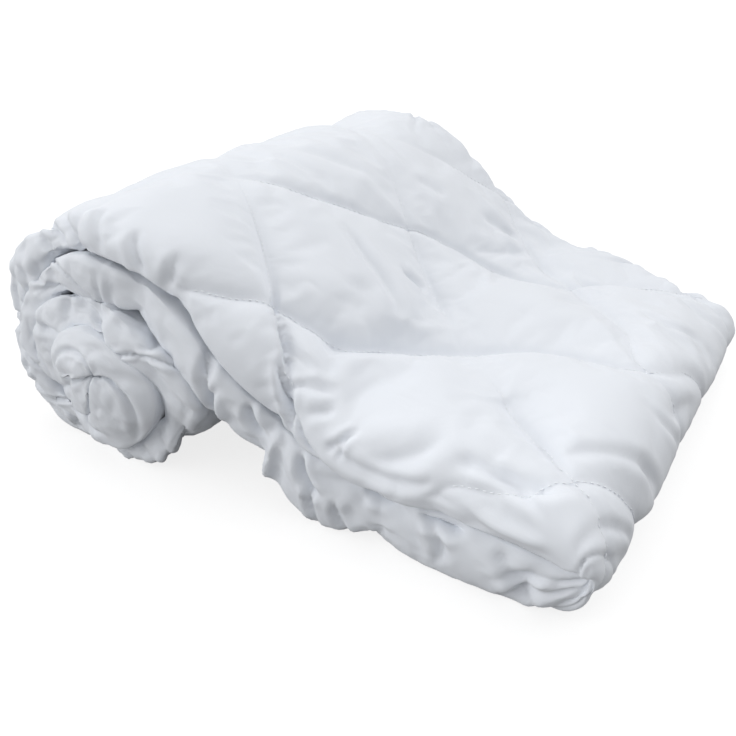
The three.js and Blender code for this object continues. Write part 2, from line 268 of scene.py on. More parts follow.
# Grooves across their line: place of the low shoulder and its width, both in groove widths, and a power.
SHOULDER = 0.3
FOLD_GROOVE = (2, 1.2, 1.5)
PLEAT_GROOVE = (2.6, 1.6, 1.4)
FOLD_MARGIN = 5
FOLD_OVERRUN = 0.15
FOLD_END_FADE = 0.4
STEP_REACH = 3.5

# How far pleats vary, lowest and highest: shares of the table's values, and the slant as path over girth.
PLEAT_START = (0.2, 0.8)
PLEAT_PLACE = (-0.5, 0.5)
PLEAT_SLANT = (-1.3, 1.3)
PLEAT_SIZE = (0.5, 1.4)
PLEAT_GAP = (0.4, 1.9)
PLEAT_MARGIN = 3

FOLD_SEED = 11

# Unevenness of the filling and crumples of the rims: sizes in metres, reaches in millimetres.
LUMP_SIZE = 0.16
LUMP_WAVES = 14
LUMP_PEAK = 5
CRUMPLE_SIZE = 0.034
FINE_CRUMPLE_SIZE = 0.015
FINE_CRUMPLE_SHARE = 0.35
CRUMPLE_WAVES = 4
CRUMPLE_SPREAD = (0.6, 1.5)
CRUMPLE_BEND = 2.2
CRUMPLE_MIDDLE = 1.25
CRUMPLE_REACH = 34.0
CRUMPLE_SHARE = {"tail": 0.12, "wall": 0.45, "back": 0.7}
CRUMPLED_ROLL_FROM = 430.0
WALL_FADE = 40.0
RIM_CLEAR = 4.0

# Where the cover is held while it loosens: at seams, deep inside the windings, at the ends and on the floor.
HELD_SEAM = 1.5
HELD_SEAM_FADE = 6.0
HELD_TOP_FROM = 850
HELD_UNDER_FROM = -400
HELD_DEPTH = 22
HELD_DEPTH_FADE = 18
HELD_END = 30
FLOOR_CONTACT = 1.0
HELD_FULLY = 0.999

# The cover's cloth, by the names of the cloth modifier's settings.
CLOTH_FRAMES = 20
CLOTH = {
    "quality": 5, "mass": 0.05, "tension_stiffness": 20, "compression_stiffness": 20, "shear_stiffness": 8,
    "bending_stiffness": 1.0, "tension_damping": 8, "compression_damping": 8, "shear_damping": 8,
    "bending_damping": 0.5, "air_damping": 2, "vertex_group_mass": "held", "use_pressure": True,
}

# Microfibre: sizes of its patterns, as repeats per metre, and how much they count.
FUZZ_SCALE = 1400.0
TONE_SCALE = 9.0
TONE_SHARES = (0.7, 0.3)
WEAVE_SHARE = 0.6
WEAVE_HEIGHT = 0.0001
CREASE_DISTORTION = 0.6
CREASE_SHARPNESS = 4.0
SHADED_TONE = 0.95

# Studio, in metres and degrees. A light's place is the direction that it shines from.
FLOOR_HALF_SIDE = 30
FLOOR_GLOW = 0.8
WORLD_STRENGTH = 0.56
TOP_LIGHT_ANGLE = 80
TOP_LIGHT_PLACE = (0.15, 0.5, 0.9)
SIDE_LIGHT_ANGLE = 60
SIDE_LIGHT_PLACE = (-0.85, -0.85, 0.3)
CAMERA_PLACE = (0.3472, -0.6271, 0.42)
CAMERA_TURN = (60.6, 0, 31.8)
CAMERA_LENS = 42.5
CAMERA_SENSOR = 36


def curve(xs, ys):
    """Monotone cubic curve through the rows of a table."""
    xs, ys = np.asarray(xs, float), np.asarray(ys, float)
    run, slope = np.diff(xs), np.zeros_like(ys)
    rise = np.diff(ys) / run
    slope[0], slope[-1] = rise[0], rise[-1]
    for i in range(1, len(xs) - 1):
        if rise[i - 1] * rise[i] > 0:
            before, after = 2 * run[i] + run[i - 1], run[i] + 2 * run[i - 1]
            slope[i] = (before + after) / (before / rise[i - 1] + after / rise[i])

    def read(x):
        i = np.clip(np.searchsorted(xs, x, side="right") - 1, 0, len(xs) - 2)
        t = np.clip((x - xs[i]) / run[i], 0, 1)
        return (
            (1 + 2 * t) * (1 - t) ** 2 * ys[i] + t * (1 - t) ** 2 * run[i] * slope[i]
            + t * t * (3 - 2 * t) * ys[i + 1] + t * t * (t - 1) * run[i] * slope[i + 1]
        )

    return read


def columns_of(table):
    """The table's columns as arrays."""
    return np.asarray(table, float).T


def soften(values, passes):
    """Three-point smoothing along the first axis that keeps both ends."""
    values = np.array(values, float)
    for _ in range(passes):
        values[1:-1] = (values[:-2] + 2 * values[1:-1] + values[2:]) / 4
    return values


def smoothstep(t):
    """0 up to t = 0, 1 from t = 1, and a smooth rise between them."""
    t = np.clip(t, 0, 1)
    return t * t * (3 - 2 * t)


def rounding(distance, reach):
    """Rounded edge profile: 0 at the edge, 1 from the given reach inwards."""
    t = np.clip((reach - distance) / reach, 0, 1)
    return np.maximum(1 - t ** RIM_POWER, 0) ** (1 / RIM_POWER)


def tail_lines():
    """Outside and inside of the top layer along the tail, then the same of the under layer."""
    x, z, above, below = columns_of(TAIL)
    reach = np.r_[0, np.cumsum(np.hypot(np.diff(x), np.diff(z)))]
    at = np.linspace(0, reach[-1], TAIL_SAMPLES)
    middle = soften(np.c_[curve(reach, x)(at), curve(reach, z)(at)], TAIL_SMOOTHING)
    above, below = (soften(curve(reach, side)(at), TAIL_SMOOTHING)[:, None] for side in (above, below))
    towards = np.gradient(middle, axis=0)
    towards[0] = towards[-1] = (-1, 0)
    towards = soften(towards, DIRECTION_SMOOTHING)
    towards /= np.linalg.norm(towards, axis=1)[:, None]
    outward = np.c_[towards[:, 1], -towards[:, 0]]
    half = LAYER_GAP / 2
    return (
        middle + outward * (half + above), middle + outward * half,
        middle - outward * half, middle - outward * (half + below),
    )


def roll_lines():
    """The same four lines round the roll."""
    first_turn, inner = curve(*columns_of(TOP_RADIUS)), curve(*columns_of(UNDER_INNER))
    thickness = curve(*columns_of(TOP_THICKNESS))

    def outer(turn):
        against_under = inner(np.maximum(turn - 360, 0)) - LAYER_GAP
        return np.where(turn < 360, first_turn(np.minimum(turn, 360)), against_under)

    def wind(radius, turn):
        angle = np.radians(90 + turn)
        return np.c_[CORE[0] + radius * np.cos(angle), CORE[1] + radius * np.sin(angle)]

    top = np.arange(TURN_STEP, TOP_LAYER_TURN + 0.5, TURN_STEP)
    under = np.arange(TURN_STEP, UNDER_LAYER_TURN + 0.5, TURN_STEP)
    under_outer = outer(under) - thickness(under) - LAYER_GAP
    return (
        wind(outer(top), top), wind(np.maximum(outer(top) - thickness(top), MIN_INNER_RADIUS), top),
        wind(under_outer, under), wind(np.minimum(inner(under), under_outer - MIN_INNER_RADIUS), under),
    )


def fold_lines():
    """Outside and inside of the fold at the tail's end, which joins the two layers."""
    x, z, above, below = TAIL[0]
    degrees = np.arange(FOLD_HALF_ANGLE, -FOLD_HALF_ANGLE - 1, -FOLD_ANGLE_STEP)
    ray = np.c_[np.cos(np.radians(degrees)), np.sin(np.radians(degrees))]
    radius = LAYER_GAP / 2 + above + (below - above) * (90 - degrees) / 180
    return (x, z) + ray * radius[:, None], (x, z) + ray * LAYER_GAP / 2


class Section:
    """Middle line and half thickness of the whole strip by path.

    The path is 0 at the fold, positive into the top layer and negative into the under layer.
    """

    def __init__(self):
        top_out, top_in, under_out, under_in = (
            np.r_[tail, roll] for tail, roll in zip(tail_lines(), roll_lines()))
        fold_out, fold_in = fold_lines()
        out = soften(np.r_[top_out[::-1], fold_out, under_in], SECTION_SMOOTHING)
        inside = soften(np.r_[top_in[::-1], fold_in, under_out], SECTION_SMOOTHING)
        middle = (out + inside) / 2
        reach = np.r_[0, np.cumsum(np.linalg.norm(np.diff(middle, axis=0), axis=1))]
        path = reach[len(top_out) + len(fold_out) // 2] - reach
        self.path = path[::-1]
        self.rows = np.c_[middle, (out - inside) / 2][::-1]
        self.first, self.last = self.path[0], self.path[-1]
        shift = columns_of(FACE_SHIFT)
        self.front_shift, self.back_shift = curve(shift[0], shift[1]), curve(shift[0], shift[2])
        rim = columns_of(RIM)
        self.rim_level, self.rim_outer, self.rim_inner = (curve(rim[0], column) for column in rim[1:])

    def at(self, path):
        values = [np.interp(path, self.path, column) for column in self.rows.T]
        return np.stack(values[:2], -1), np.stack(values[2:], -1)


def seam_value(family, path, across):
    """0 on one seam of the family and a whole pitch more on each next one."""
    turn = SEAM_TURN[family]
    drift = sum(
        shift * np.exp(-((path - at) ** 2 + (across - over) ** 2) / reach ** 2)
        for name, at, over, reach, shift in SEAM_DRIFT if name == family)
    return across + turn * SEAM_SLOPE * path - SEAM_OFFSET[family] - drift


def seam_distances(path, across):
    """Distance from the nearest falling and the nearest rising seam."""
    places = (seam_value(family, path, across) / SEAM_PITCH for family in SEAM_OFFSET)
    return [
        np.abs(place - np.round(place)) * SEAM_PITCH * math.cos(math.atan(SEAM_SLOPE)) for place in places]


def seam_strength(family, path, across):
    """1 where a seam is drawn tight, less where the filling hides it."""
    lost = sum(
        share * np.exp(-((path - at) ** 2 + (across - over) ** 2) / reach ** 2)
        for name, at, over, reach, share in SEAM_FADE if name == family)
    return np.clip(1 - lost, 0, 1)


def seam_valley(path, across):
    """1 on a seam, 0 in the middle of a quilted diamond."""
    valleys = (
        np.clip(1 - nearest / SEAM_HALF_WIDTH, 0, 1) ** SEAM_SHARPNESS * seam_strength(family, path, across)
        for family, nearest in zip(SEAM_OFFSET, seam_distances(path, across)))
    return np.maximum(*valleys)


def taper(x, y, z):
    """The back of the bundle lies lower than its front."""
    share = smoothstep((y - TAPER["from_y"]) / TAPER["over_y"])
    tail = smoothstep((x - TAPER["tail_from_x"]) / TAPER["tail_over_x"])
    fold = smoothstep((x - TAPER["fold_from_x"]) / TAPER["fold_over_x"])
    lower = 1 - share * (TAPER["roll_lower"] + TAPER["tail_lower"] * tail + TAPER["fold_lower"] * fold)
    inwards = share * TAPER["fold_in_x"] * fold
    forwards = share * TAPER["fold_in_y"] * fold
    return np.stack([x - inwards, y - forwards, z * lower], -1)


def back_reach(half_thickness):
    """Reach of the rounding of the back rim."""
    return RIM_BASE + RIM_PER_HALF_THICKNESS * half_thickness


def bulge(path, across):
    """Extra height of the fullest diamonds, in millimetres."""
    full = sum(
        height * np.exp(-((path - at) / along) ** 2 - ((across - over) / wide) ** 2)
        for at, over, along, wide, height in BULGES)
    nearest = [
        np.where(seam_strength(family, path, across) > HOLDING_SEAM, distance, SEAM_HALF_WIDTH)
        for family, distance in zip(SEAM_OFFSET, seam_distances(path, across))]
    return full * smoothstep(np.minimum(*nearest) / BULGE_SEAM_REACH)


def core_dome(x, z):
    """How far the wound core stands out of the roll's front."""
    return CORE_DOME * np.clip(1 - ((x - CORE[0]) ** 2 + (z - CORE[1]) ** 2) / CORE_REACH ** 2, 0, 1)


def wound_core(x, z):
    """The core lies tighter and further round than the rest of the winding."""
    off_x, off_z = x - CORE[0], z - CORE[1]
    near = np.exp(-(off_x ** 2 + off_z ** 2) / CORE_WARP_REACH ** 2)
    scale, turn = 1 - CORE_SHRINK * near, math.radians(CORE_TWIST) * near
    cos, sin = scale * np.cos(turn), scale * np.sin(turn)
    return (
        CORE[0] + off_x * cos - off_z * sin + CORE_DRAW[0] * near,
        CORE[1] + off_x * sin + off_z * cos + CORE_DRAW[1] * near)


def wound_share(path):
    """0 where the outer face is in view along the tail, 1 where its layer is wound up."""
    return np.maximum(
        smoothstep((path - TOP_WOUND_FROM) / WOUND_FADE), smoothstep((UNDER_WOUND_FROM - path) / WOUND_FADE))


def fold_opening(path, across):
    """How far the inner faces move towards the fold's end, at the front and near the fold."""
    along = smoothstep((FOLD_OPENING_REACH - np.abs(path)) / FOLD_OPENING_FADE)
    return FOLD_OPENING * along * smoothstep(1 - across / FRONT_REACH)


def seam_sink(path, side, half_thickness, seam_depth):
    """Share of the half thickness that a seam takes away, less where it is covered or folded."""
    depth = np.minimum(seam_depth / MM, SEAM_DEPTH_LIMIT * half_thickness) / half_thickness
    covered = wound_share(path) if side > 0 else 1
    folded = np.exp(-(path / FOLD_SEAM_REACH) ** 2)
    return depth * (1 - COVERED_SEAM_LOSS * covered) * (1 - FOLD_SEAM_LOSS * folded)


def winding_flare(path, across, side, half_thickness):
    """Factor that thickens the turns at the front, so that no slot stays open between them."""
    inner = smoothstep((np.abs(path - INNER_FLARE_MIDDLE) - INNER_FLARE_FROM) / WOUND_FADE)
    share = np.minimum(WINDING_FLARE / half_thickness, WINDING_FLARE_LIMIT)
    wound = wound_share(path) if side > 0 else inner
    return 1 + share * wound * smoothstep(1 - across / WINDING_FLARE_REACH)


def strip_point(section, path, across, side, seam_depth):
    """Points of the strip's outer (side 1) or inner (side -1) face, in metres."""
    middle, half = section.at(path)
    parted = (fold_opening(path, across) / 2)[:, None] * (1, 0)
    middle, half = middle + parted, half - parted
    half_thickness = np.linalg.norm(half, axis=-1)
    edge = np.minimum(across, STRIP_WIDTH - across)
    is_front = across < STRIP_WIDTH / 2
    valley = seam_valley(path, across)
    level = np.where(is_front, section.rim_level(path), 0)
    reach = section.rim_outer(path) if side > 0 else section.rim_inner(path)
    reach = np.where(is_front, reach, back_reach(half_thickness))
    full = side * level + (1 - side * level) * rounding(edge, reach)
    full = full * rounding(np.minimum(section.last - path, path - section.first), LAYER_END_ROUNDING)
    full = full * (1 - seam_sink(path, side, half_thickness, seam_depth) * valley)
    if side > 0:
        full = full + bulge(path, across) / half_thickness
    full = full * winding_flare(path, across, side, half_thickness)
    front = FRONT_FACE + section.front_shift(path)
    back = FRONT_FACE + STRIP_WIDTH + section.back_shift(path)
    notch = SEAM_RIM_NOTCH * valley * np.clip(1 - edge / SEAM_HALF_WIDTH, 0, 1)
    y = front + (back - front) * across / STRIP_WIDTH + np.where(is_front, notch, -notch)
    x, z = (middle + side * half * full[..., None]).T
    y = y - np.where(is_front, core_dome(x, z), 0) * smoothstep(1 - across / FRONT_REACH)
    x, z = wound_core(x, z)
    points = taper(x, y, np.maximum(z, 0))
    return (points - (*SECTION_MIDDLE, 0)) * MM


def stepped(first, last, step_at):
    """Values from first to last, each a step on from the one before, the last gap up to 1.5 steps."""
    values = [first]
    while last - values[-1] > 1.5 * step_at(values[-1]):
        values.append(values[-1] + step_at(values[-1]))
    return np.array(values + [last])


def from_table(table):
    """Function that looks up the step for a value in rows of upper limit and step."""
    return lambda value: next(step for up_to, step in table if value < up_to)


def column_places(section, paths, side):
    """Distance of every grid column from the front, closer together round the rims and at the front."""
    half_thickness = np.linalg.norm(section.at(paths)[1], axis=-1)
    front = section.rim_outer(paths) if side > 0 else section.rim_inner(paths)
    step = OUTER_COLUMN_STEP if side > 0 else INNER_COLUMN_STEP
    rim, even = rounding_places(RIM_COLUMNS), np.linspace(0, 1, round(STRIP_WIDTH / step) + 1)[1:-1]
    middle = even * (FRONT_STEP_SHARE + (1 - FRONT_STEP_SHARE) * even)
    rows = [
        np.r_[rim * near, near + (STRIP_WIDTH - near - far) * middle, STRIP_WIDTH - far * rim[::-1]]
        for near, far in zip(front, back_reach(half_thickness))]
    return np.array(rows)


def rounding_places(count):
    """Shares of a rounding's reach at which its profile has even steps."""
    height = np.sin(np.linspace(0, math.pi / 2, count))
    return 1 - (1 - height ** RIM_POWER) ** (1 / RIM_POWER)


def zipper(one, two):
    """Triangles between two rows of points that share their ends."""
    i = j = 0
    faces = []
    while i < len(one) - 1 or j < len(two) - 1:
        if j == len(two) - 1 or (i < len(one) - 1 and (i + 1) * (len(two) - 1) <= (j + 1) * (len(one) - 1)):
            faces.append((one[i], one[i + 1], two[j]))
            i += 1
        else:
            faces.append((one[i], two[j + 1], two[j]))
            j += 1
    return [face for face in faces if len(set(face)) == 3]


class StripGrid:
    """A closed grid over both faces of the strip: its points, faces and place on the strip."""

    def __init__(self, section, seam_depth):
        paths = stepped(section.first, section.last, from_table(ROW_STEPS))
        across = [column_places(section, paths, side) for side in (1, -1)]
        path = [np.repeat(paths[:, None], places.shape[1], axis=1) for places in across]
        faces = [
            strip_point(section, p.ravel(), b.ravel(), side, seam_depth).reshape(*p.shape, 3)
            for p, b, side in zip(path, across, (1, -1))]
        for column in (0, -1):
            faces[1][:, column] = faces[0][:, column]
        steps = [np.linalg.norm(np.diff(face, axis=1), axis=2) / MM for face in faces]
        from_front = [np.c_[np.zeros(len(paths)), np.cumsum(step, axis=1)] for step in steps]
        from_back = [length[:, -1:] - length for length in from_front]

        def both(outer_values, inner_values):
            return np.r_[outer_values.ravel(), inner_values[:, 1:-1].ravel()]

        self.path = both(*path)
        self.across = both(*across)
        facing = np.ones_like(path[0])
        facing[:, 0] = facing[:, -1] = 0
        self.side = both(facing, -np.ones_like(path[1]))
        self.from_front, self.from_back = both(*from_front), both(*from_back)
        self.points = np.r_[faces[0].reshape(-1, 3), faces[1][:, 1:-1].reshape(-1, 3)]
        outside = np.arange(path[0].size).reshape(path[0].shape)
        inside = np.zeros(path[1].shape, int)
        inside[:, 0], inside[:, -1] = outside[:, 0], outside[:, -1]
        inside[:, 1:-1] = path[0].size + np.arange(inside[:, 1:-1].size).reshape(len(paths), -1)
        self.quads = np.r_[self._quads(outside)[:, ::-1], self._quads(inside)]
        self.outer_corners = self._quads(outside).size
        self.ends = zipper(outside[0], inside[0]) + [
            face[::-1] for face in zipper(outside[-1], inside[-1])]

    def faces(self):
        return self.quads.tolist() + self.ends

    def unwrapped(self):
        """Path and girth of every face corner, in metres."""
        corners = np.concatenate([np.ravel(face) for face in self.faces()]).astype(int)
        facing = np.r_[np.ones(self.outer_corners), -np.ones(len(corners) - self.outer_corners)]
        return np.c_[self.path[corners], facing * self.from_front[corners]] * MM

    @staticmethod
    def _quads(index):
        corners = index[:-1, :-1], index[1:, :-1], index[1:, 1:], index[:-1, 1:]
        return np.stack([corner.ravel() for corner in corners], -1)


def mesh_object(name, points, faces):
    """New object in the scene with a mesh of the given points and faces."""
    mesh = bpy.data.meshes.new(name)
    mesh.from_pydata(np.asarray(points).tolist(), [], [list(map(int, face)) for face in faces])
    mesh.update()
    piece = bpy.data.objects.new(name, mesh)
    bpy.context.scene.collection.objects.link(piece)
    return piece


def read_points(mesh):
    points = np.empty(len(mesh.vertices) * 3)
    mesh.vertices.foreach_get("co", points)
    return points.reshape(-1, 3)


def write_points(mesh, points):
    mesh.vertices.foreach_set("co", points.ravel())
    mesh.update()


def set_attribute(mesh, name, values):
    mesh.attributes.new(name, "FLOAT", "POINT").data.foreach_set("value", np.asarray(values, np.float32))


def read_attribute(mesh, name):
    values = np.empty(len(mesh.vertices), np.float32)
    mesh.attributes[name].data.foreach_get("value", values)
    return values.astype(float)


def groove(off, shoulder_at, shoulder_width, power):
    """-1 on the groove's line, 0 far from it, with a low shoulder on each side."""
    off = np.abs(off)
    return SHOULDER * np.exp(-((off - shoulder_at) / shoulder_width) ** 2) - np.exp(-off ** power)


def fold_profile(path, girth, row):
    """Height of one fold of the table: a groove with low shoulders, or a step where it leans."""
    from_path, from_girth, to_path, to_girth, bow, width, depth, lean = row
    run, climb = to_path - from_path, to_girth - from_girth
    length = math.hypot(run, climb)
    margin = FOLD_MARGIN * width + abs(bow)
    near = (
        (path > min(from_path, to_path) - margin) & (path < max(from_path, to_path) + margin)
        & (girth > min(from_girth, to_girth) - margin) & (girth < max(from_girth, to_girth) + margin))
    along = ((path[near] - from_path) * run + (girth[near] - from_girth) * climb) / length ** 2
    off = ((girth[near] - from_girth) * run - (path[near] - from_path) * climb) / length
    share = (off - bow * 4 * along * (1 - along)) / width
    start = smoothstep((along + FOLD_OVERRUN) / FOLD_END_FADE)
    end = smoothstep((1 + FOLD_OVERRUN - along) / FOLD_END_FADE)
    step = np.tanh(share) * np.exp(-(share / STEP_REACH) ** 2)
    height = np.zeros_like(path)
    height[near] = start * end * (depth * groove(share, *FOLD_GROOVE) + lean * step)
    return height


def pleats(path, girth, table, seed):
    """Uneven tucks that cross a rim, in millimetres of height."""
    chance = np.random.default_rng(seed)
    height = np.zeros_like(path)
    for first, last, spacing, width, depth, reach in table:
        at = first + spacing * chance.uniform(*PLEAT_START)
        while at < last:
            middle, slant = chance.uniform(*PLEAT_PLACE) * reach, chance.uniform(*PLEAT_SLANT)
            long, deep, wide = np.array((reach, depth, width)) * chance.uniform(*PLEAT_SIZE, 3)
            near = (np.abs(path - at) < PLEAT_MARGIN * reach) & (np.abs(girth) < PLEAT_MARGIN * reach)
            off = (path[near] - at - slant * (girth[near] - middle)) / wide
            fall = np.exp(-((girth[near] - middle) / long) ** 2)
            height[near] += deep * fall * groove(off, *PLEAT_GROOVE)
            at += spacing * chance.uniform(*PLEAT_GAP)
    return height


def lumps(points, size, seed):
    """Smooth seeded unevenness between about -1 and 1."""
    chance = np.random.default_rng(seed)
    waves = chance.normal(0, 2 * math.pi / size, (LUMP_WAVES, 3))
    phases = chance.uniform(0, 2 * math.pi, LUMP_WAVES)
    return sum(np.sin(points @ wave + phase) for wave, phase in zip(waves, phases)) / LUMP_PEAK


def crumples(points, size, seed):
    """Flat facets between crossing creases, from about -1 in a crease to 1."""
    chance = np.random.default_rng(seed)
    bend = CRUMPLE_BEND * lumps(points, 3 * size, seed + 1)
    height = 0
    for _ in range(CRUMPLE_WAVES):
        wave = chance.normal(0, 1, 3)
        wave *= math.pi / size / np.linalg.norm(wave) * chance.uniform(*CRUMPLE_SPREAD)
        height = height + np.abs(np.sin(points @ wave + bend + chance.uniform(0, math.pi)))
    return 2 * height / CRUMPLE_WAVES - CRUMPLE_MIDDLE


def gathers(path, across, seed):
    """Short puckers that run off the seams."""
    chance = np.random.default_rng(seed)
    table = chance.uniform(-1, 1, GATHER_READINGS)
    square = math.cos(math.atan(SEAM_SLOPE))
    height = np.zeros_like(path)
    for family, distance in zip(SEAM_OFFSET, seam_distances(path, across)):
        turn, value = SEAM_TURN[family], seam_value(family, path, across)
        seam = np.round(value / SEAM_PITCH)
        along = (path - turn * SEAM_SLOPE * across) * square
        above = np.sign(value - seam * SEAM_PITCH)
        fan = GATHER_FAN * np.sin(along / GATHER_WAVES["fan"] + 3 * seam + above)
        first = GATHER_PER_SEAM * seam + GATHER_PER_SIDE * above + GATHER_FIRST
        place = (along + fan * distance) / GATHER_SPACING + first
        cell = np.floor(place).astype(int) % (GATHER_READINGS - 1)
        reading = np.abs(table[cell] + (table[cell + 1] - table[cell]) * smoothstep(place - np.floor(place)))
        long_wave = np.sin(along / GATHER_WAVES["long"] + 2 * seam)
        short_wave = np.sin(along / GATHER_WAVES["short"] + above)
        strength = smoothstep(0.5 + long_wave + short_wave) * seam_strength(family, path, across)
        pucker = SHOULDER * reading - np.clip(1 - reading / PUCKER_WIDTH, 0, 1)
        fall = np.exp(-distance / GATHER_REACH) * smoothstep(distance / GATHER_CLEAR)
        height += pucker * strength * fall
    return height


def crumple_share(path, girth, back_girth):
    """How strongly the rims are crumpled: most at the roll, less on the front wall and at the back."""
    roll = smoothstep((path - CRUMPLED_ROLL_FROM) / WOUND_FADE)
    roll = roll + smoothstep((UNDER_WOUND_FROM - path) / WOUND_FADE)
    wall = CRUMPLE_SHARE["wall"] * smoothstep(-path / WALL_FADE)
    front = CRUMPLE_SHARE["tail"] + (1 - CRUMPLE_SHARE["tail"]) * np.maximum(roll, wall)
    back = CRUMPLE_SHARE["back"] * np.exp(-(back_girth / CRUMPLE_REACH) ** 2)
    return np.minimum(np.exp(-(girth / CRUMPLE_REACH) ** 2) * front + back, 1)


def crease(piece, stitch_pull, gather_depth, lump_height, crumple_height):
    """Moves the finished cover along its normals by its seams, folds, pleats, gathers and lumps."""
    mesh = piece.data
    path, across, side, from_front, from_back = (read_attribute(mesh, name) for name in PLACE_NAMES)
    facing = np.where(side < 0, -1, 1)
    girth, back_girth = facing * from_front, facing * from_back
    seamed = smoothstep(from_front / RIM_CLEAR) * smoothstep(from_back / RIM_CLEAR) * (facing > 0)
    points = read_points(mesh)
    height = sum(fold_profile(path, girth, row) for row in FOLDS)
    height += pleats(path, girth, FRONT_PLEATS, FOLD_SEED)
    height += pleats(path, back_girth, BACK_PLEATS, FOLD_SEED + 1)
    height += gather_depth / MM * seamed * gathers(path, across, FOLD_SEED + 2)
    for family, distance in zip(SEAM_OFFSET, seam_distances(path, across)):
        line = seam_strength(family, path, across) * np.exp(-distance / SEAM_LINE)
        height -= stitch_pull / MM * seamed * line
    height += lump_height / MM * lumps(points, LUMP_SIZE, FOLD_SEED + 3)
    crumpled = crumples(points, CRUMPLE_SIZE, FOLD_SEED + 4)
    crumpled += FINE_CRUMPLE_SHARE * crumples(points, FINE_CRUMPLE_SIZE, FOLD_SEED + 6)
    height += crumple_height / MM * crumple_share(path, girth, back_girth) * crumpled
    normals = np.empty(len(points) * 3, np.float32)
    mesh.vertex_normals.foreach_get("vector", normals)
    points += normals.reshape(-1, 3) * height[:, None] * MM
    points[:, 2] = np.maximum(points[:, 2], 0)
    write_points(mesh, points)


def pins(grid, section):
    """1 where the cover is held: on seams, inside the windings, on the floor and at the layers' ends."""
    edge = np.minimum(grid.across, STRIP_WIDTH - grid.across)
    nearest = np.minimum(*seam_distances(grid.path, grid.across))
    seam = np.where(grid.side >= 0, 1 - smoothstep((nearest - HELD_SEAM) / HELD_SEAM_FADE), 0)
    covered = (grid.side < 0) | (grid.path > HELD_TOP_FROM) | (grid.path < HELD_UNDER_FROM)
    deep = np.where(covered, smoothstep((edge - HELD_DEPTH) / HELD_DEPTH_FADE), 0)
    floor = (grid.points[:, 2] < FLOOR_CONTACT * MM).astype(float)
    end = smoothstep(1 - np.minimum(section.last - grid.path, grid.path - section.first) / HELD_END)
    return np.clip(np.maximum.reduce([seam, deep, floor, end]), 0, 1)


def loosen(grid, held, excess, pressure, cap):
    """Lets the cover buckle as cloth that is longer than the seams that hold it."""
    free = held < HELD_FULLY
    used_quads = grid.quads[free[grid.quads].any(axis=1)]
    used = np.unique(used_quads)
    renumber = np.full(len(grid.points), -1)
    renumber[used] = np.arange(len(used))
    patch = mesh_object("cover_patch", grid.points[used], renumber[used_quads])
    group = patch.vertex_groups.new(name="held")
    for weight in np.unique(np.round(held[used], 2)):
        members = np.nonzero(np.round(held[used], 2) == weight)[0]
        group.add(members.tolist(), float(weight), "REPLACE")
    cloth = patch.modifiers.new("Cloth", "CLOTH")
    settings = cloth.settings
    for name, value in CLOTH.items():
        setattr(settings, name, value)
    settings.effector_weights.gravity = 0
    settings.shrink_min = -excess
    settings.uniform_pressure_force = pressure
    cloth.point_cache.frame_start, cloth.point_cache.frame_end = 1, CLOTH_FRAMES
    for number in range(1, CLOTH_FRAMES + 1):
        bpy.context.scene.frame_set(number)
    evaluated = patch.evaluated_get(bpy.context.evaluated_depsgraph_get())
    moved = read_points(evaluated.data)
    bpy.data.objects.remove(patch)
    bpy.context.scene.frame_set(1)
    shift = moved - grid.points[used]
    length = np.linalg.norm(shift, axis=1)[:, None]
    shift *= np.minimum(1, cap / np.maximum(length, 1e-9))
    points = grid.points.copy()
    points[used] += shift
    points[:, 2] = np.maximum(points[:, 2], 0)
    return points


def finished(piece):
    """Applies the piece's modifiers and returns it."""
    evaluated = piece.evaluated_get(bpy.context.evaluated_depsgraph_get())
    mesh = bpy.data.meshes.new_from_object(evaluated)
    piece.modifiers.clear()
    old = piece.data
    piece.data = mesh
    bpy.data.meshes.remove(old)
    mesh.name = piece.name
    return piece


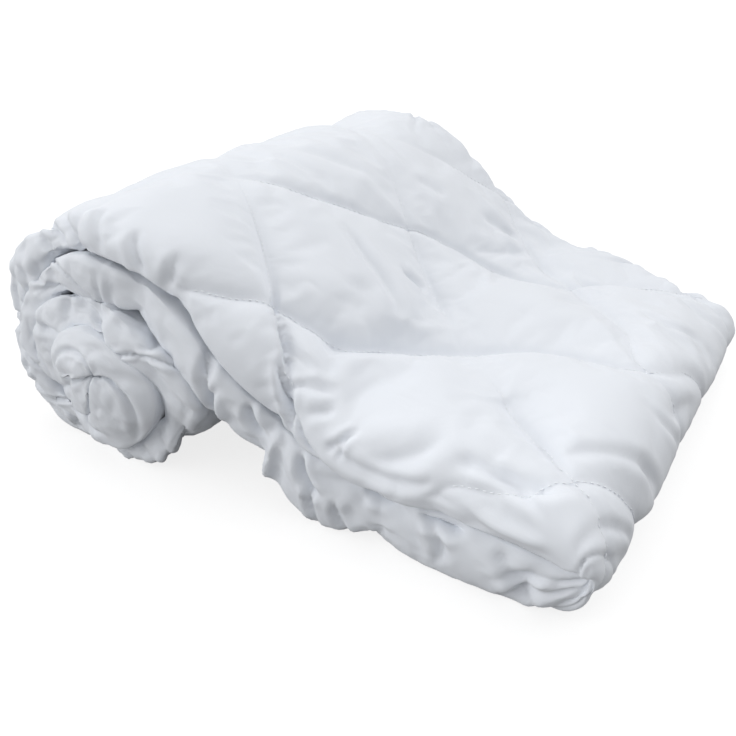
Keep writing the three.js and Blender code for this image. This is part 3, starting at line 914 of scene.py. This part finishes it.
def cloth_nodes():
    """Shader group of a brushed weave: a value for its tone and a normal for its weave and fine creases."""
    group = bpy.data.node_groups.new("brushed_weave", "ShaderNodeTree")
    for name, value in (("Weave Pitch", 0.0008), ("Crease Size", 0.04), ("Crease Depth", 0.00018)):
        group.interface.new_socket(name, in_out="INPUT", socket_type="NodeSocketFloat").default_value = value
    group.interface.new_socket("Tone", in_out="OUTPUT", socket_type="NodeSocketFloat")
    group.interface.new_socket("Normal", in_out="OUTPUT", socket_type="NodeSocketVector")
    nodes, link = group.nodes, group.links.new
    given, out = nodes.new("NodeGroupInput"), nodes.new("NodeGroupOutput")

    def feed(socket, value):
        if isinstance(value, (int, float)):
            socket.default_value = value
        else:
            link(value, socket)

    def math_node(operation, *values):
        node = nodes.new("ShaderNodeMath")
        node.operation = operation
        for socket, value in zip(node.inputs, values):
            feed(socket, value)
        return node.outputs["Value"]

    def noise(scale, detail, distortion=0.0):
        node = nodes.new("ShaderNodeTexNoise")
        for name, value in (
                ("Vector", place), ("Scale", scale), ("Detail", detail), ("Distortion", distortion)):
            feed(node.inputs[name], value)
        return node.outputs["Fac"]

    def bump(strength, distance, height):
        node = nodes.new("ShaderNodeBump")
        for name, value in (("Strength", strength), ("Distance", distance), ("Height", height)):
            feed(node.inputs[name], value)
        return node

    unwrap = nodes.new("ShaderNodeUVMap")
    unwrap.uv_map = "cloth"
    place = nodes.new("ShaderNodeTexCoord").outputs["Object"]
    axes = nodes.new("ShaderNodeSeparateXYZ")
    link(unwrap.outputs["UV"], axes.inputs["Vector"])
    turns = math_node("DIVIDE", 2 * math.pi, given.outputs["Weave Pitch"])
    warp, weft = (
        math_node("SINE", math_node("MULTIPLY", axes.outputs[axis], turns)) for axis in ("X", "Y"))
    weave = math_node("MULTIPLY", warp, weft)
    fuzz = noise(FUZZ_SCALE, 2.0)
    broad = noise(TONE_SCALE, 3.0)
    folds = noise(math_node("DIVIDE", 1.0, given.outputs["Crease Size"]), 4.0, CREASE_DISTORTION)
    ridges = math_node("ABSOLUTE", math_node("SUBTRACT", folds, 0.5))
    fine = bump(0.25, WEAVE_HEIGHT, math_node("MULTIPLY_ADD", weave, WEAVE_SHARE, fuzz))
    sharp = math_node("MULTIPLY", ridges, CREASE_SHARPNESS)
    creased = bump(1.0, given.outputs["Crease Depth"], sharp)
    link(fine.outputs["Normal"], creased.inputs["Normal"])
    link(creased.outputs["Normal"], out.inputs["Normal"])
    shares = (math_node("MULTIPLY", part, share) for part, share in zip((broad, fuzz), TONE_SHARES))
    link(math_node("ADD", *shares), out.inputs["Tone"])
    return group


def cloth_material(name, colour, group, roughness, sheen):
    """Microfibre with the shared weave, a little darker where its tone is low."""
    material = bpy.data.materials.new(name)
    material.use_nodes = True
    nodes, links = material.node_tree.nodes, material.node_tree.links
    shader = nodes["Principled BSDF"]
    shader.inputs["Roughness"].default_value = roughness
    shader.inputs["Sheen Weight"].default_value = sheen
    shader.inputs["Sheen Roughness"].default_value = 0.5
    shader.inputs["Specular IOR Level"].default_value = 0.25
    weave = nodes.new("ShaderNodeGroup")
    weave.node_tree = group
    mix = nodes.new("ShaderNodeMix")
    mix.data_type = "RGBA"
    shaded = [SHADED_TONE * part for part in colour]
    mix.inputs["A"].default_value = (*shaded, 1)
    mix.inputs["B"].default_value = (*colour, 1)
    links.new(weave.outputs["Tone"], mix.inputs["Factor"])
    links.new(mix.outputs["Result"], shader.inputs["Base Color"])
    links.new(weave.outputs["Normal"], shader.inputs["Normal"])
    return material


def shared_cloth():
    """The one weave group that both cloth materials place."""
    return bpy.data.node_groups.get("brushed_weave") or cloth_nodes()


def cover_material(colour):
    return cloth_material("brushed_microfibre", colour, shared_cloth(), roughness=0.78, sheen=0.25)


def thread_material(colour):
    return cloth_material("quilting_thread", colour, shared_cloth(), roughness=0.6, sheen=0.1)


def floor_material(colour):
    """Plain floor that the camera sees brighter than it lights the duvet."""
    material = bpy.data.materials.new("floor")
    material.use_nodes = True
    nodes = material.node_tree.nodes
    shader, seen = nodes["Principled BSDF"], nodes.new("ShaderNodeLightPath")
    shader.inputs["Base Color"].default_value = (*colour, 1)
    shader.inputs["Roughness"].default_value = 0.9
    shader.inputs["Emission Color"].default_value = (FLOOR_GLOW, FLOOR_GLOW, FLOOR_GLOW, 1)
    material.node_tree.links.new(seen.outputs["Is Camera Ray"], shader.inputs["Emission Strength"])
    return material


def seam_runs(section, seam_depth, surface):
    """Points and normals of every sewn line on the outside of the cover, a list for each unbroken run."""
    runs = []
    for family, turn in SEAM_TURN.items():
        for number in SEAM_NUMBERS:
            run = []
            for path in np.arange(STITCHED_PATH[0], STITCHED_PATH[1], SEAM_SAMPLE):
                across = SEAM_PITCH * number - turn * SEAM_SLOPE * path + SEAM_OFFSET[family]
                for _ in range(SEAM_PASSES):
                    across = across - seam_value(family, path, across) + SEAM_PITCH * number
                inside = STITCH_MARGIN < across < STRIP_WIDTH - STITCH_MARGIN
                sewn = inside and seam_strength(family, path, across) > STITCHED_STRENGTH
                if sewn:
                    base = strip_point(section, np.array([path]), np.array([across]), 1, seam_depth)[0]
                    place, normal, _, _ = surface.find_nearest(Vector(base))
                    run.append((place, normal))
                if not sewn or path + SEAM_SAMPLE >= STITCHED_PATH[1]:
                    if len(run) >= SHORTEST_RUN:
                        runs.append(run)
                    run = []
    return runs


def line_object(name, runs):
    """One mesh of loose edges along the runs, with the surface normal kept on its points."""
    points = np.array([place for run in runs for place, _ in run])
    normals = np.array([normal for run in runs for _, normal in run])
    ends = np.cumsum([len(run) for run in runs])
    edges = [(i, i + 1) for i in range(len(points) - 1) if i + 1 not in ends]
    mesh = bpy.data.meshes.new(name)
    mesh.from_pydata(points.tolist(), edges, [])
    mesh.attributes.new("surface_normal", "FLOAT_VECTOR", "POINT").data.foreach_set(
        "vector", normals.ravel().astype(np.float32))
    piece = bpy.data.objects.new(name, mesh)
    bpy.context.scene.collection.objects.link(piece)
    return piece


def stitch_nodes():
    """Geometry nodes that lay small stitches along a line of edges."""
    tree = bpy.data.node_groups.new("stitches", "GeometryNodeTree")
    tree.interface.new_socket("Geometry", in_out="INPUT", socket_type="NodeSocketGeometry")
    for name in ("Pitch", "Length", "Width", "Height"):
        tree.interface.new_socket(name, in_out="INPUT", socket_type="NodeSocketFloat")
    tree.interface.new_socket("Material", in_out="INPUT", socket_type="NodeSocketMaterial")
    tree.interface.new_socket("Geometry", in_out="OUTPUT", socket_type="NodeSocketGeometry")
    nodes, link = tree.nodes, tree.links.new
    given, out = nodes.new("NodeGroupInput"), nodes.new("NodeGroupOutput")
    to_curve, resample = nodes.new("GeometryNodeMeshToCurve"), nodes.new("GeometryNodeResampleCurve")
    resample.mode = "LENGTH"
    bead = nodes.new("GeometryNodeMeshUVSphere")
    bead.inputs["Segments"].default_value = 6
    bead.inputs["Rings"].default_value = 4
    bead.inputs["Radius"].default_value = 0.5
    tangent, normal = nodes.new("GeometryNodeInputTangent"), nodes.new("GeometryNodeInputNamedAttribute")
    normal.data_type = "FLOAT_VECTOR"
    normal.inputs["Name"].default_value = "surface_normal"
    along, upright = (nodes.new("FunctionNodeAlignRotationToVector") for _ in range(2))
    along.axis, upright.axis, upright.pivot_axis = "X", "Z", "X"
    size, lay = nodes.new("ShaderNodeCombineXYZ"), nodes.new("GeometryNodeInstanceOnPoints")
    realize, paint = nodes.new("GeometryNodeRealizeInstances"), nodes.new("GeometryNodeSetMaterial")
    for source, output, target, socket in (
            (given, "Geometry", to_curve, "Mesh"), (to_curve, "Curve", resample, "Curve"),
            (given, "Pitch", resample, "Length"), (tangent, "Tangent", along, "Vector"),
            (along, "Rotation", upright, "Rotation"), (normal, "Attribute", upright, "Vector"),
            (given, "Length", size, "X"), (given, "Width", size, "Y"), (given, "Height", size, "Z"),
            (resample, "Curve", lay, "Points"), (bead, "Mesh", lay, "Instance"),
            (upright, "Rotation", lay, "Rotation"), (size, "Vector", lay, "Scale"),
            (lay, "Instances", realize, "Geometry"), (realize, "Geometry", paint, "Geometry"),
            (given, "Material", paint, "Material"), (paint, "Geometry", out, "Geometry")):
        link(source.outputs[output], target.inputs[socket])
    return tree


def sew(piece, values):
    """Turns the lines of the piece into stitches."""
    tree = stitch_nodes()
    modifier = piece.modifiers.new("Stitches", "NODES")
    modifier.node_group = tree
    for item in tree.interface.items_tree:
        if item.in_out == "INPUT" and item.name in values:
            modifier[item.identifier] = values[item.name]
    return finished(piece)


class DuvetSettings(bpy.types.PropertyGroup):
    """Sizes and colours of the duvet."""

    seam_depth: FloatProperty(
        name="Seam depth", description="How deep the quilting seams lie", default=0.010, min=0, unit="LENGTH")
    cloth_excess: FloatProperty(
        name="Cloth excess", description="Share by which the cover is longer than its seams", default=0.013,
        min=0, max=0.1)
    cloth_lift: FloatProperty(
        name="Cloth lift", description="Pressure of the filling on the cover", default=1.5, min=0)
    cloth_reach: FloatProperty(
        name="Cloth reach", description="Largest move of the cover while it loosens", default=0.009, min=0,
        unit="LENGTH")
    stitch_pull: FloatProperty(
        name="Stitch pull", description="Extra depth of the narrow line along each seam", default=0.0035,
        min=0, unit="LENGTH")
    gather_depth: FloatProperty(
        name="Gather depth", description="Depth of the short puckers beside the seams", default=0.0010,
        min=0, unit="LENGTH")
    lump_height: FloatProperty(
        name="Lump height", description="Unevenness of the filling", default=0.0012, min=0, unit="LENGTH")
    crumple_height: FloatProperty(
        name="Crumple height", description="Height of the crumples round the rims", default=0.0027, min=0,
        unit="LENGTH")
    cover_colour: FloatVectorProperty(
        name="Cover colour", description="Colour of the microfibre cover", default=(0.785, 0.815, 0.865),
        subtype="COLOR")


class StitchSettings(bpy.types.PropertyGroup):
    """Sizes and colour of the quilting stitches."""

    pitch: FloatProperty(
        name="Pitch", description="Distance from stitch to stitch", default=0.005, min=0.001, unit="LENGTH")
    length: FloatProperty(
        name="Length", description="Length of a stitch", default=0.0034, min=0, unit="LENGTH")
    width: FloatProperty(
        name="Width", description="Width of the thread", default=0.001, min=0, unit="LENGTH")
    height: FloatProperty(
        name="Height", description="Height of a stitch", default=0.0008, min=0, unit="LENGTH")
    colour: FloatVectorProperty(
        name="Colour", description="Colour of the thread", default=(0.86, 0.88, 0.92), subtype="COLOR")


class StageSettings(bpy.types.PropertyGroup):
    """The studio round the duvet."""

    floor_colour: FloatVectorProperty(
        name="Floor colour", description="Colour of the plain floor", default=(0.25, 0.25, 0.25),
        subtype="COLOR")
    top_light: FloatProperty(
        name="Top light", description="Strength of the soft light above", default=1.42, min=0)
    side_light: FloatProperty(
        name="Side light", description="Strength of the fill light in front", default=1.65, min=0)


class DUVET_OT_cover(bpy.types.Operator):
    """Build the rolled duvet's cover."""

    bl_idname = "duvet.cover"
    bl_label = "Rolled duvet"

    def execute(self, context):
        settings = context.scene.duvet
        section = Section()
        grid = StripGrid(section, settings.seam_depth)
        points = grid.points
        held = pins(grid, section)
        points = loosen(grid, held, settings.cloth_excess, settings.cloth_lift, settings.cloth_reach)
        piece = mesh_object("duvet_cover", points, grid.faces())
        for name in PLACE_NAMES:
            set_attribute(piece.data, name, getattr(grid, name))
        piece.data.uv_layers.new(name="cloth").uv.foreach_set(
            "vector", grid.unwrapped().ravel().astype(np.float32))
        smooth = piece.modifiers.new("Smooth", "SUBSURF")
        smooth.levels = smooth.render_levels = 1
        finished(piece)
        crease(
            piece, settings.stitch_pull, settings.gather_depth, settings.lump_height, settings.crumple_height)
        piece.data.shade_smooth()
        piece.data.materials.append(cover_material(settings.cover_colour))
        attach(piece, BODY)
        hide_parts(NODE)
        return {"FINISHED"}


class DUVET_OT_stitches(bpy.types.Operator):
    """Sew the quilting seams of the cover."""

    bl_idname = "duvet.stitches"
    bl_label = "Quilting stitches"

    def execute(self, context):
        settings = context.scene.duvet_stitches
        mesh = bpy.data.objects["duvet_cover"].data
        faces = np.empty(len(mesh.loops), np.int32)
        mesh.loops.foreach_get("vertex_index", faces)
        polygons = [
            faces[face.loop_start:face.loop_start + face.loop_total].tolist() for face in mesh.polygons]
        surface = BVHTree.FromPolygons(read_points(mesh).tolist(), polygons)
        runs = seam_runs(Section(), context.scene.duvet.seam_depth, surface)
        piece = sew(line_object("quilting_stitches", runs), {
            "Pitch": settings.pitch, "Length": settings.length, "Width": settings.width,
            "Height": settings.height, "Material": thread_material(settings.colour)})
        piece.data.shade_smooth()
        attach(piece, BODY)
        return {"FINISHED"}


class DUVET_OT_stage(bpy.types.Operator):
    """Set up the floor, the lights and the camera."""

    bl_idname = "duvet.stage"
    bl_label = "Studio"

    def execute(self, context):
        settings = context.scene.duvet_stage
        scene = context.scene
        corners = [(x, y, 0) for x, y in ((-1, -1), (1, -1), (1, 1), (-1, 1))]
        floor = mesh_object("floor", np.array(corners, float) * FLOOR_HALF_SIDE, [(0, 1, 2, 3)])
        floor.data.materials.append(floor_material(settings.floor_colour))
        world = bpy.data.worlds.new("studio")
        world.use_nodes = True
        background = world.node_tree.nodes["Background"]
        background.inputs["Color"].default_value = (1, 1, 1, 1)
        background.inputs["Strength"].default_value = WORLD_STRENGTH
        scene.world = world
        for name, strength, angle, place in (
                ("top_softbox", settings.top_light, TOP_LIGHT_ANGLE, TOP_LIGHT_PLACE),
                ("front_softbox", settings.side_light, SIDE_LIGHT_ANGLE, SIDE_LIGHT_PLACE)):
            light = bpy.data.lights.new(name, "SUN")
            light.energy = strength
            light.angle = math.radians(angle)
            lamp = bpy.data.objects.new(name, light)
            lamp.location = place
            lamp.rotation_euler = lamp.location.to_track_quat("Z", "Y").to_euler()
            scene.collection.objects.link(lamp)
        camera = bpy.data.cameras.new("camera")
        camera.lens = CAMERA_LENS
        camera.sensor_width = CAMERA_SENSOR
        eye = bpy.data.objects.new("camera", camera)
        eye.location = CAMERA_PLACE
        eye.rotation_euler = [math.radians(turn) for turn in CAMERA_TURN]
        scene.collection.objects.link(eye)
        scene.camera = eye
        scene.view_settings.view_transform = "Standard"
        return {"FINISHED"}


class DUVET_PT_panel(bpy.types.Panel):
    """Lists the cover, its stitches and the studio."""

    bl_idname = "DUVET_PT_panel"
    bl_label = "Rolled duvet"
    bl_space_type = "VIEW_3D"
    bl_region_type = "UI"
    bl_category = "Duvet"

    def draw(self, context):
        layout = self.layout
        layout.operator(DUVET_OT_cover.bl_idname)
        layout.operator(DUVET_OT_stitches.bl_idname)
        layout.operator(DUVET_OT_stage.bl_idname)


CLASSES = (
    DuvetSettings, StitchSettings, StageSettings, DUVET_OT_cover, DUVET_OT_stitches, DUVET_OT_stage,
    DUVET_PT_panel,
)


def register():
    for cls in CLASSES:
        bpy.utils.register_class(cls)
    bpy.types.Scene.duvet = PointerProperty(type=DuvetSettings)
    bpy.types.Scene.duvet_stitches = PointerProperty(type=StitchSettings)
    bpy.types.Scene.duvet_stage = PointerProperty(type=StageSettings)


def unregister():
    del bpy.types.Scene.duvet_stage
    del bpy.types.Scene.duvet_stitches
    del bpy.types.Scene.duvet
    for cls in reversed(CLASSES):
        bpy.utils.unregister_class(cls)


def main():
    register()
    bpy.ops.duvet.cover()
    bpy.ops.duvet.stitches()
    bpy.ops.duvet.stage()


if __name__ == "__main__":
    main()
